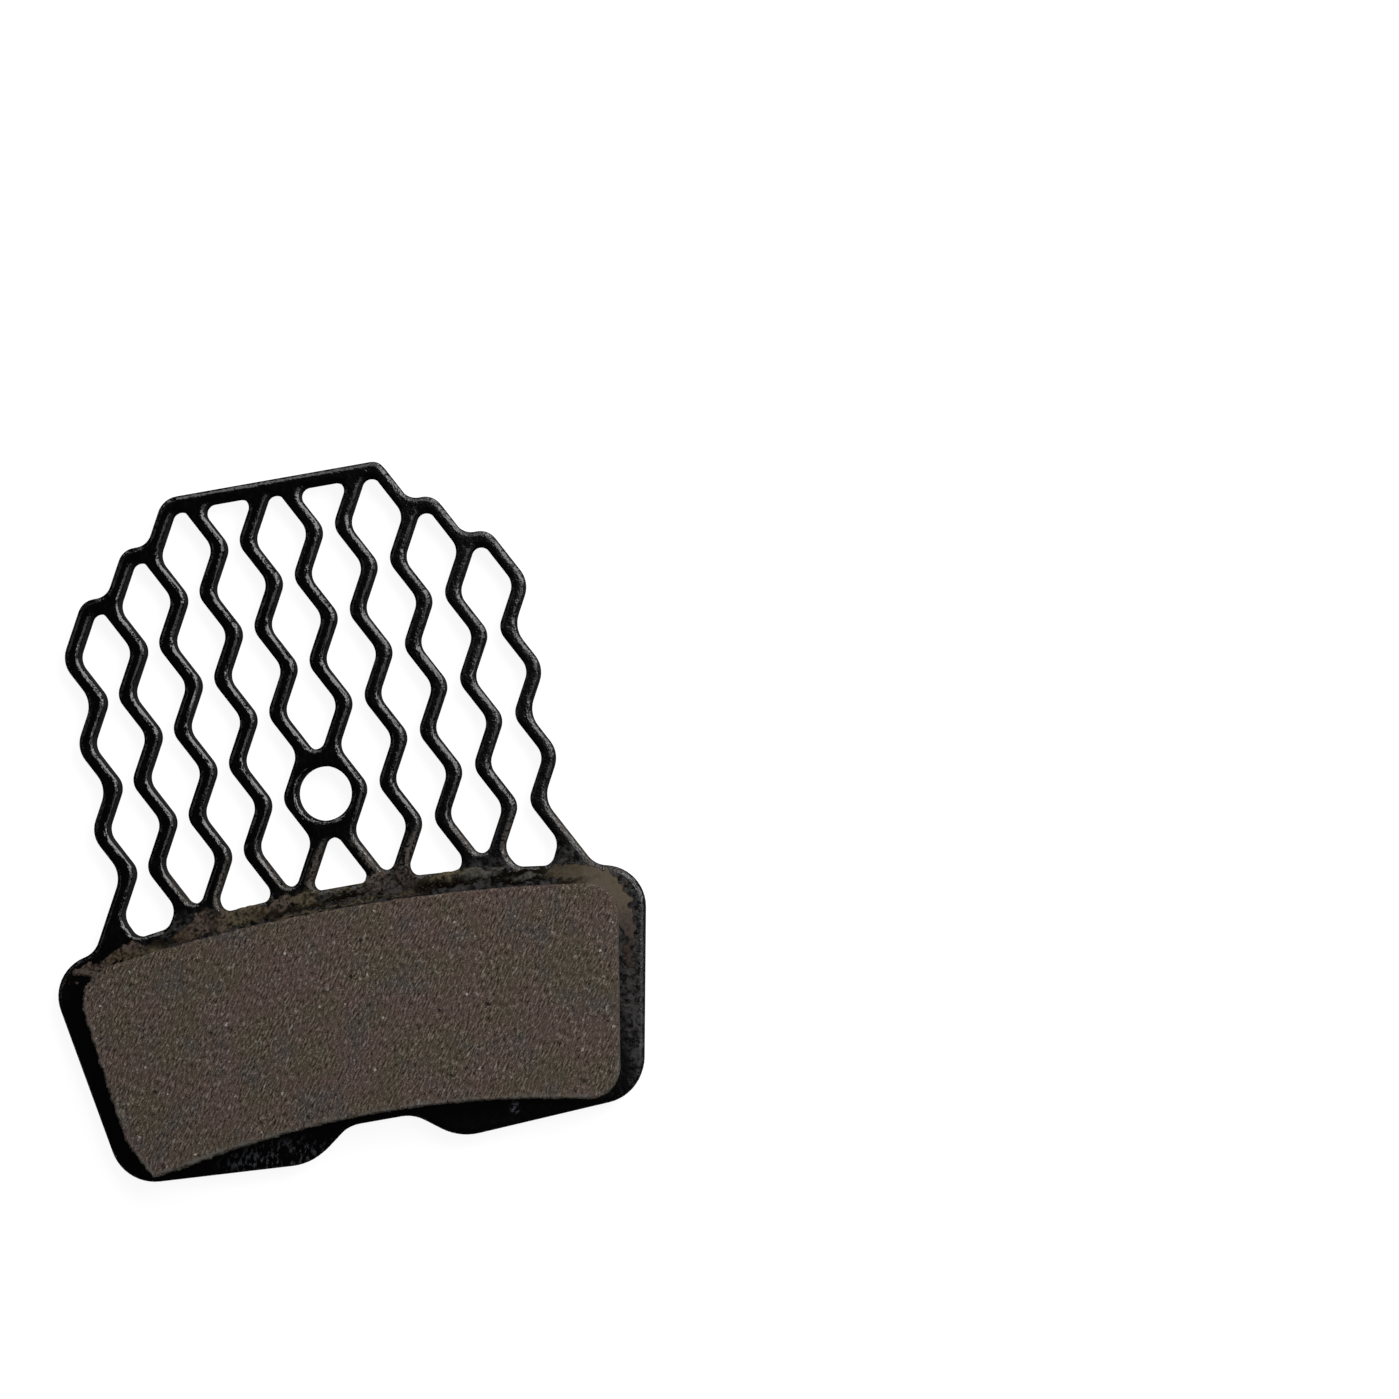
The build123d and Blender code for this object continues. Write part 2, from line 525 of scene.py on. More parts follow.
@dataclass(frozen=True)
class PowderCoat:
    """Black powder coat, grained like orange peel, with brown dust where it lies against the lining, painted
    light on the right-facing sides of the struts' roots and a painted sheen on its walls.

    Attributes:
        black: The clean coat.
        dust: Brake dust on the ledge.
        bloom: Paler dust on the struts' roots, with painted light on their right-facing sides, which face
            the lamps.
        scuff: Scratched coat, and painted highlight specks on the lower right corner.
        wall: Painted sheen on the cut walls, a flat grey in place of their gloss.
        scrape: A spot that is scraped through to the metal.
        front: From walls to the front, by the normal's Z.
        flat: Where dust can lie, by the normal's Z.
        shiny: Where the coat keeps its gloss, by the normal's Z; the walls lose it and take the painted
            sheen.
        lee: Where the roots face right, towards the lamps, and take the painted light, by the normal's X.
        right: Across the pad to the side where the coat is coarser.
        roots: Where the struts' roots are dusty and their right-facing sides painted lighter.
        ledge: Where dust lies above the lining.
        beside: Where dust lies beside it.
        middle: The roots on which dust lies all round.
        rubbed: Where the coat is scratched, and, at the second spot on the lower right corner, where
            highlight specks are painted; each with its strength.
        scraped: Where it is scraped.
        film: Patches of the roots' dust and painted light, and of the painted sheen on the walls.
        broken: Patches in the ledge's dust.
        specks: Scratches, and the painted highlight specks.
        bare: Patches of bare metal.
        gloss: Patches of more gloss.
        scratch_turn: Direction of the scratches.
        scratch_stretch: How many times longer than wide they are.
        thinness: Range over which the painted sheen on the walls is mottled.
        wear: Range of the strength of the scratches and the painted highlight specks.
        roughness: Range of the clean coat's roughness.
        shine: Its specular level when clean and when dusty.
        dust_roughness: What dust adds to the roughness.
        right_roughness: What the coarser side adds to it.
        peel: The orange peel.
        ripple: Its longer waves.
        ripple_share: The longer waves' weight.
        coarseness: Range of the bumps' strength.
        bump: The bumps' height.
    """

    black: Colour = (0.0005, 0.0005, 0.0005, 1)
    dust: Colour = (0.044, 0.040, 0.039, 1)
    bloom: Colour = (0.072, 0.061, 0.049, 1)
    scuff: Colour = (0.070, 0.074, 0.080, 1)
    wall: Colour = (0.046, 0.046, 0.049, 1)
    scrape: Colour = (0.20, 0.21, 0.24, 1)
    front: Ramp = Ramp(0.2, 0.8)
    flat: Ramp = Ramp(0.93, 0.99)
    shiny: Ramp = Ramp(0.55, 0.85)
    lee: Ramp = Ramp(0.05, 0.4)
    right: Ramp = Ramp(-6.0, 16.0)
    roots: Zone = Zone((Ramp(-15.0, -9.5),), (Ramp(-2.4, -5.0), Ramp(-9.4, -8.4)))
    ledge: Zone = Zone((Ramp(-15.0, -11.5),), (Ramp(-6.0, -7.2), Ramp(-16.0, -9.0)))
    beside: Zone = Zone((Ramp(20.4, 19.5), Ramp(17.0, 18.0)), (Ramp(-9.0, -11.0),))
    middle: tuple[Spot, float] = (Spot(2.4, -5.6, 7.5, 4.0), 0.25)
    rubbed: tuple[tuple[Spot, float], ...] = (
        (Spot(-7.6, -23.8, 4.6, 1.5), 1.0),
        # Painted highlight specks on the lower right corner.
        (Spot(19.0, -19.6, 1.8, 3.2), 0.5),
    )
    scraped: Spot = Spot(9.2, -23.4, 0.45, 0.55)
    film: Patch = Patch(4.2, 0.40, 0.60)
    broken: Patch = Patch(3.0, 0.34, 0.78)
    specks: Patch = Patch(4.2, 0.51, 0.64)
    bare: Patch = Patch(4.0, 0.45, 0.60)
    gloss: Patch = Patch(2.5, 0.3, 0.7)
    scratch_turn: float = math.radians(72)
    scratch_stretch: float = 1.8
    thinness: Range = (0.4, 0.65)
    wear: Range = (0.02, 0.8)
    roughness: Range = (0.10, 0.15)
    shine: Range = (0.46, 0.10)
    dust_roughness: float = 0.4
    right_roughness: float = 0.12
    peel: Relief = Relief(7.0, 0.6)
    ripple: Relief = Relief(1.7, 0.4)
    ripple_share: float = 2.0
    coarseness: Range = (0.7, 1.0)
    bump: float = 0.025 * MM

    def material(self, effects: Effects) -> bpy.types.Material:
        """Build the coat.

        Args:
            effects: The shared effects.

        Returns:
            The material.
        """
        material, wiring, shader = new_material("black_powder_coat")
        place = wiring.millimetres()
        normal = wiring.axes(wiring.node("NewGeometry").outputs["Normal"])
        front = wiring.step(normal["Z"], self.front)
        film = wiring.group(effects.patches, place, self.film)
        middle, gain = self.middle
        # The roots' right-facing sides take the bloom tone as painted light; in the middle spot it lies all
        # round, as dust.
        turned = wiring.math("ADD", normal["X"], wiring.both(wiring.spot(place, middle), gain))
        roots = wiring.both(wiring.zone(place, self.roots), wiring.step(turned, self.lee), film)
        low = wiring.either(wiring.zone(place, self.ledge), wiring.zone(place, self.beside))
        broken = wiring.group(effects.patches, place, self.broken)
        dusty = wiring.both(low, wiring.step(normal["Z"], self.flat), broken)

        strokes = wiring.along(place, self.scratch_turn, self.scratch_stretch)
        specks = wiring.group(effects.patches, strokes, self.specks)
        rubbed = wiring.either(*(wiring.both(wiring.spot(place, spot), gain) for spot, gain in self.rubbed))
        worn_and_glinting = wiring.both(specks, wiring.span(rubbed, *self.wear), front)
        bare = wiring.both(wiring.group(effects.patches, place, self.bare), wiring.spot(place, self.scraped))
        # The walls are painted a mottled grey, a painted sheen that stands in for the gloss they lose.
        wall = wiring.blend(wiring.span(film, *self.thinness), self.black, self.wall)
        colour = wiring.blend(front, wall, self.black)
        for mask, tone in ((roots, self.bloom), (dusty, self.dust), (worn_and_glinting, self.scuff), (bare, self.scrape)):
            colour = wiring.blend(mask, colour, tone)

        dull = wiring.either(dusty, roots)
        right = wiring.step(wiring.axes(place)["X"], self.right)
        rough = wiring.span(wiring.group(effects.patches, place, self.gloss), *self.roughness)
        for mask, share in ((dull, self.dust_roughness), (right, self.right_roughness)):
            rough = wiring.math("ADD", rough, wiring.both(mask, share))
        shine = wiring.both(wiring.span(dull, *self.shine), wiring.step(normal["Z"], self.shiny))
        wiring.tree.links.new(rough, shader.inputs["Roughness"])
        wiring.tree.links.new(shine, shader.inputs["Specular IOR Level"])
        ripple = wiring.both(wiring.group(effects.grain, place, self.ripple), self.ripple_share)
        height = wiring.math("ADD", wiring.group(effects.grain, place, self.peel), ripple)
        wiring.surface(shader, colour, height, self.bump, wiring.span(right, *self.coarseness))
        return material


@dataclass(frozen=True)
class FrictionCompound:
    """Brown-grey friction compound, ground flat, with pale grains, painted shade in its pores and pits,
    crests lightened partly as painted light, and painted light along its lower and left edges.

    Attributes:
        mauve: The redder tone of the binder.
        olive: The greener tone of the binder.
        grey: The tone of its glazed patches.
        shade: Painted shade in its pores, the low parts of its grain.
        light: The tone of its ground crests, partly from the grinding and partly painted light on the high
            parts of its grain.
        pale: Pale mineral grains.
        pit: Torn-out grains, darkened as painted shade in their hollows.
        rim: Painted light along the lower and left edges, which face away from the main lamps.
        tones: Patches of the two binder tones.
        glaze: Glazed patches.
        glaze_share: How strongly these show.
        polish: Patches that are ground less deep.
        depth: Range of the grinding's depth.
        skin: Patches of that painted light on the edges.
        crumb: Waves of the crumbly grain in a millimetre, and its weight.
        stroke: Waves of the grinding marks in a millimetre, and their weight.
        grind_turn: Direction of the grinding marks.
        grind_stretch: How many times longer than wide they are.
        pores: Where the grain is low enough for a pore, which takes painted shade.
        crests: Where it is high enough to be ground, and painted lighter.
        grains: Bright grains, and how strongly they show.
        crumbs: Faint round grains.
        drawn: Faint grains that are drawn out by the grinding.
        faint_share: How strongly the faint grains show.
        pits: Pits.
        wobble: Waves in a millimetre of the grains' ragged outlines, and their reach.
        roughness: Its roughness.
        shine: Its specular level.
        pit_depth: The pits' depth, as a share of the bumps' height.
        bump: The bumps' height.
    """

    mauve: Colour = (0.079, 0.052, 0.043, 1)
    olive: Colour = (0.065, 0.052, 0.034, 1)
    grey: Colour = (0.050, 0.047, 0.044, 1)
    shade: Colour = (0.012, 0.007, 0.004, 1)
    light: Colour = (0.168, 0.132, 0.108, 1)
    pale: Colour = (0.47, 0.45, 0.42, 1)
    pit: Colour = (0.012, 0.010, 0.009, 1)
    rim: Colour = (0.105, 0.098, 0.085, 1)
    tones: Patch = Patch(0.30, 0.36, 0.64)
    glaze: Patch = Patch(0.40, 0.52, 0.70)
    glaze_share: float = 0.7
    polish: Patch = Patch(0.9, 0.35, 0.6)
    depth: Range = (0.65, 1.0)
    skin: Patch = Patch(2.4, 0.38, 0.62)
    crumb: tuple[float, float] = (9.0, 0.33)
    stroke: tuple[float, float] = (8.0, 0.67)
    grind_turn: float = math.radians(56)
    grind_stretch: float = 3.3
    pores: Ramp = Ramp(0.47, 0.36)
    crests: Ramp = Ramp(0.52, 0.62)
    grains: tuple[Grain, float] = (Grain(1.7, 0.20, 0.11), 0.7)
    crumbs: Grain = Grain(3.0, 0.36, 0.20)
    drawn: Grain = Grain(3.0, 0.28, 0.20)
    faint_share: float = 0.27
    pits: Grain = Grain(0.9, 0.16, 0.10)
    wobble: tuple[float, float] = (6.0, 0.35)
    roughness: float = 0.85
    shine: float = 0.25
    pit_depth: float = 0.5
    bump: float = 0.15 * MM

    def material(self, effects: Effects) -> bpy.types.Material:
        """Build the compound.

        Args:
            effects: The shared effects.

        Returns:
            The material.
        """
        material, wiring, shader = new_material("ground_friction_compound")
        place = wiring.millimetres()
        strokes = wiring.along(place, self.grind_turn, self.grind_stretch)
        scale, reach = self.wobble
        shifts = wiring.node("TexNoise", {"Vector": place, "Scale": scale, "Detail": 2.0}).outputs["Color"]
        inputs = {0: shifts, 1: (reach,) * 3, 2: place}
        ragged = wiring.node("VectorMath", inputs, operation="MULTIPLY_ADD").outputs[0]

        waves = []
        for pattern, (scale, share) in ((place, self.crumb), (strokes, self.stroke)):
            wave = wiring.node("TexNoise", {"Vector": pattern, "Scale": scale, "Detail": 1.0}).outputs[0]
            waves.append(wiring.both(wave, share))
        tooth = wiring.math("ADD", *waves)
        depth = wiring.span(wiring.group(effects.patches, place, self.polish), *self.depth)
        grains, strength = self.grains
        bright = wiring.both(wiring.group(effects.scatter, ragged, grains), strength)
        crumbs = wiring.group(effects.scatter, ragged, self.crumbs)
        faint = wiring.either(crumbs, wiring.group(effects.scatter, strokes, self.drawn))
        pits = wiring.group(effects.scatter, ragged, self.pits)
        edge = wiring.node("Attribute", attribute_name="rim").outputs["Fac"]

        colour = wiring.blend(wiring.group(effects.patches, place, self.tones), self.mauve, self.olive)
        layers = (
            (wiring.both(wiring.group(effects.patches, place, self.glaze), self.glaze_share), self.grey),
            # Darker where the grain is low and lighter where it is high: painted shade in the pores, and
            # partly painted light on the crests.
            (wiring.both(wiring.step(tooth, self.pores), depth), self.shade),
            (wiring.both(wiring.step(tooth, self.crests), depth), self.light),
            (wiring.either(bright, wiring.both(faint, self.faint_share)), self.pale),
            # The pits' dark is painted shade in their hollows.
            (pits, self.pit),
            # Painted light along the lower and left edges, in patches.
            (wiring.both(edge, wiring.group(effects.patches, place, self.skin)), self.rim),
        )
        for mask, tone in layers:
            colour = wiring.blend(mask, colour, tone)
        shader.inputs["Roughness"].default_value = self.roughness
        shader.inputs["Specular IOR Level"].default_value = self.shine
        height = wiring.math("SUBTRACT", tooth, wiring.both(pits, self.pit_depth))
        wiring.surface(shader, colour, height, self.bump)
        return material


@dataclass(frozen=True)
class MouldFlash:
    """Compound that was squeezed out of the mould and smeared on the coat, in the tones of its own mesh.

    Attributes:
        crack: The tone of its cracks.
        crumb: The tone of its pale crumbs.
        cracks: Its cracks.
        crumbs: Its crumbs.
        crumb_share: How strongly these show.
        roughness: Its roughness.
        crumble: Its crumbly surface.
        bump: The bumps' height.
        strength: How strongly they show.
    """

    crack: Colour = (0.004, 0.003, 0.002, 1)
    crumb: Colour = (0.14, 0.12, 0.10, 1)
    cracks: Patch = Patch(4.8, 0.48, 0.34)
    crumbs: Patch = Patch(7.0, 0.58, 0.72)
    crumb_share: float = 0.4
    roughness: float = 0.7
    crumble: Relief = Relief(4.0, 0.3)
    bump: float = 0.04 * MM
    strength: float = 0.5

    def material(self, effects: Effects) -> bpy.types.Material:
        """Build the flash.

        Args:
            effects: The shared effects.

        Returns:
            The material.
        """
        material, wiring, shader = new_material("mould_flash")
        place = wiring.millimetres()
        tint = wiring.node("Attribute", attribute_name="tint").outputs
        cracks = wiring.both(wiring.group(effects.patches, place, self.cracks), tint["Alpha"])
        crumbs = wiring.both(wiring.group(effects.patches, place, self.crumbs), self.crumb_share)
        colour = wiring.blend(cracks, tint["Color"], self.crack)
        colour = wiring.blend(crumbs, colour, self.crumb)
        shader.inputs["Roughness"].default_value = self.roughness
        shader.inputs["Specular IOR Level"].default_value = 0.0
        crumble = wiring.group(effects.grain, place, self.crumble)
        wiring.surface(shader, colour, crumble, self.bump, self.strength)
        return material


# The pad

@dataclass(frozen=True)
class Corner:
    """One outer corner of the lattice; lengths are in millimetres.

    Attributes:
        x: Where its two edges would meet across the pad.
        y: Where they would meet along the pad.
        radius: The radius that the coat leaves it with.
    """

    x: float
    y: float
    radius: float


@dataclass
class CoatedPlate:
    """The steel plate with its cooling lattice, whose edges the powder coat has rounded."""

    corner_radius: float = 0.65 * MM
    corner_turn: float = math.radians(61.93)
    corners: tuple[Corner, ...] = (
        Corner(-7.544, 21.94, 1.6), Corner(-10.874, 18.94, 1.3), Corner(-14.204, 15.94, 1.3),
        Corner(7.544, 21.94, 0.9), Corner(10.874, 18.94, 1.3), Corner(14.204, 15.94, 1.3),
    )
    bevel: float = 0.28 * MM
    bevel_cuts: int = 3
    crown_radius: float = 0.60 * MM
    crown_reach: float = 0.41 * MM
    crown_steps: tuple[float, ...] = (0.045 * MM, 0.045 * MM, 0.04 * MM)
    flank_rounding: float = 0.04 * MM
    back_rounding: float = 0.12 * MM
    rounding_steps: int = 4
    slack: float = 0.005 * MM
    sharp: float = math.radians(20)
    finish: PowderCoat = field(default_factory=PowderCoat)

    def build(self) -> Piece:
        """Crown the front of a copy of the plate towards its edges, as the coat does, and break the others.

        Returns:
            The plate, not yet dressed.
        """
        piece = copy_of_node("back_plate", "coated_plate")
        back, face = (corner.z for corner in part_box("back_plate"))
        with editing(piece):
            self.round_corners(piece, face)
            self.crown_bevel(piece, face)
            self.crown_face(piece, face)
            edge_height = face - self.drop(0)
            for height, rounding in ((edge_height, self.flank_rounding), (back, self.back_rounding)):
                pick(piece, Part.EDGE, lambda edge: self.is_level(edge, height)
                     and edge.calc_face_angle(0) > self.sharp)
                bpy.ops.mesh.bevel(offset=rounding, segments=self.rounding_steps, clamp_overlap=True)
        make_active(piece)
        bpy.ops.object.shade_smooth()
        apply_modifier(piece, "WEIGHTED_NORMAL", mode="FACE_AREA", weight=50)
        return piece

    def drop(self, inset: float) -> float:
        """How far the crowned coat lies below the plate's face at a distance from its edge."""
        return self.crown_radius - math.sqrt(self.crown_radius**2 - max(0.0, self.crown_reach - inset) ** 2)

    def is_level(self, element: bmesh.types.BMEdge | bmesh.types.BMFace, height: float) -> bool:
        """Say whether an edge or a face lies flat at a height."""
        return all(abs(vertex.co.z - height) < self.slack for vertex in element.verts)

    def round_corners(self, piece: Piece, face: float) -> None:
        """Draw the lattice's outer corners out along the edges beside them, to larger rounds.

        Args:
            piece: The plate in edit mode.
            face: The height of its face.
        """
        half = self.corner_turn / 2
        for corner in self.corners:
            for inset in (0.0, self.bevel):
                x = corner.x * MM - math.copysign(inset * math.tan(half), corner.x)
                tip = Vector((x, corner.y * MM - inset))
                radius = self.corner_radius - inset
                reach = radius * math.tan(half) + self.slack
                pick(piece, Part.POINT, lambda point: (point.co.xy - tip).length < reach
                     and (point.co.z > face - self.slack) == (inset > 0))
                growth = (corner.radius * MM - inset) / radius
                bpy.ops.transform.resize(value=(growth, growth, 1), center_override=(tip.x, tip.y, 0))

    def crown_bevel(self, piece: Piece, face: float) -> None:
        """Cut the straight bevel into strips and lift them to the crown's curve.

        Args:
            piece: The plate in edit mode.
            face: The height of its face.
        """
        low = face - self.bevel
        pick(piece, Part.EDGE, lambda edge: min(vertex.co.z for vertex in edge.verts) > low - self.slack
             and abs(edge.verts[0].co.z - edge.verts[1].co.z) > self.slack)
        bpy.ops.mesh.subdivide(number_cuts=self.bevel_cuts)
        rises = {round((point.co.z - low) / self.slack) for point in bmesh.from_edit_mesh(piece.data).verts}
        for inset in (rise * self.slack for rise in sorted(rises, reverse=True)):
            if -self.slack < inset < self.bevel - self.slack:
                pick(piece, Part.POINT, lambda point: abs(point.co.z - low - inset) < self.slack / 2)
                bpy.ops.transform.translate(value=(0, 0, self.bevel - inset - self.drop(inset)))

    def crown_face(self, piece: Piece, face: float) -> None:
        """Sink the flat front, then raise it again in narrow steps along the crown's curve.

        Args:
            piece: The plate in edit mode.
            face: The height of its face.
        """
        pick(piece, Part.FACE, lambda part: self.is_level(part, face))
        bpy.ops.transform.translate(value=(0, 0, -self.drop(self.bevel)))
        inset = self.bevel
        for step in self.crown_steps:
            bpy.ops.mesh.inset(thickness=step, depth=self.drop(inset) - self.drop(inset + step))
            inset += step

    def dress(self, piece: Piece, effects: Effects) -> None:
        """Give the plate its coat."""
        hand_over(piece, Slot.PLATE, self.finish.material(effects), "back_plate")


@dataclass
class GroundLining:
    """The friction lining: a crumbly moulded block with a ground face and ragged edges."""

    crumb: float = 0.1 * MM
    face_relief: float = 0.035 * MM
    grind_relief: float = 0.03 * MM
    wall_relief: float = 0.4 * MM
    chip_relief: float = 0.32 * MM
    lump: float = 0.5 * MM
    chip: float = 0.22 * MM
    tooth: float = 0.16 * MM
    groove: float = 0.15 * MM
    groove_stretch: float = 4.0
    sound_share: float = 0.45
    rim_width: float = 0.4 * MM
    finish: FrictionCompound = field(default_factory=FrictionCompound)

    def build(self) -> Piece:
        """Give a copy of the lining a fine mesh, then its crumbly edges and its grinding marks.

        Returns:
            The lining, not yet dressed.
        """
        piece = copy_of_node("friction_lining", "ground_lining")
        apply_modifier(piece, "REMESH", mode="VOXEL", voxel_size=self.crumb)
        low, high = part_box("friction_lining")
        self.flatten_seat(piece, low.z)
        face = weigh(piece, "face", lambda vertex: max(0.0, vertex.normal.z))
        wall = weigh(piece, "wall", lambda vertex: self.wall_weight(vertex, low, high))
        self.mark_rim(piece, low, high)
        roughen(piece, self.lump, self.wall_relief, wall)
        roughen(piece, self.chip, self.chip_relief, wall)
        roughen(piece, self.tooth, self.face_relief, face)
        roughen(piece, self.groove, self.grind_relief, face, self.finish.grind_turn, self.groove_stretch)
        make_active(piece)
        bpy.ops.object.shade_smooth()
        return piece

    def flatten_seat(self, piece: Piece, seat: float) -> None:
        """Replace the fine mesh of the seat, which nothing shows, by one face.

        Args:
            piece: The lining.
            seat: The seat's height.
        """
        with editing(piece):
            pick(piece, Part.FACE, lambda part: part.normal.z < -LEVEL
                 and part.calc_center_median().z < seat + self.crumb)
            bpy.ops.mesh.delete(type="FACE")
            pick(piece, Part.EDGE, lambda edge: edge.is_boundary)
            bpy.ops.mesh.edge_face_add()

    def wall_weight(self, vertex: bpy.types.MeshVertex, low: Vector, high: Vector) -> float:
        """Say how far a point of the wall may crumble: most at the top on the -X side, none at the seat."""
        steep = min(1.0, 2 * (1 - abs(vertex.normal.z)))
        rise = (vertex.co.z - low.z) / (high.z - low.z)
        side = self.sound_share + (1 - self.sound_share) * max(0.0, min(1.0, -vertex.co.x / high.x))
        return max(0.0, min(1.0, steep * rise * side))

    def mark_rim(self, piece: Piece, low: Vector, high: Vector) -> None:
        """Note how near each point is to the lining's lower and left edges, which take painted light.

        Args:
            piece: The lining.
            low: The lowest corner of its box.
            high: The highest corner of its box.
        """
        points = piece.data.vertices
        middle = (low.z + high.z) / 2
        walls = [vertex for vertex in points if abs(vertex.normal.z) < 0.5 and vertex.co.z > middle]
        tree = KDTree(len(walls))
        for vertex in walls:
            tree.insert((vertex.co.x, vertex.co.y, 0), vertex.index)
        tree.balance()
        values = []
        for vertex in points:
            _, index, apart = tree.find((vertex.co.x, vertex.co.y, 0))
            outward = points[index].normal
            kept = max(0.0, min(1.0, -1.2 * outward.y - 0.5 * min(0.0, outward.x)))
            values.append(kept * max(0.0, min(1.0, 2 - 2 * apart / self.rim_width)))
        piece.data.attributes.new("rim", "FLOAT", "POINT").data.foreach_set("value", values)

    def dress(self, piece: Piece, effects: Effects) -> None:
        """Give the lining its compound."""
        hand_over(piece, Slot.LINING, self.finish.material(effects), "friction_lining")


@dataclass(frozen=True)
class Smear:
    """One place where flash lies on the ledge; lengths are in millimetres.

    Attributes:
        x: Its middle across the pad.
        y: Its middle along the pad.
        half_width: Its reach across the pad.
        half_height: Its reach along the pad.
        weight: How thickly it lies.
        tone: Its colour.
    """

    x: float
    y: float
    half_width: float
    half_height: float
    weight: float
    tone: Tone

    def at(self, x: float, y: float) -> float:
        """The smear's weight at a point."""
        apart = ((x - self.x) / self.half_width) ** 2 + ((y - self.y) / self.half_height) ** 2
        return self.weight * math.exp(-apart) if apart < 6 else 0.0


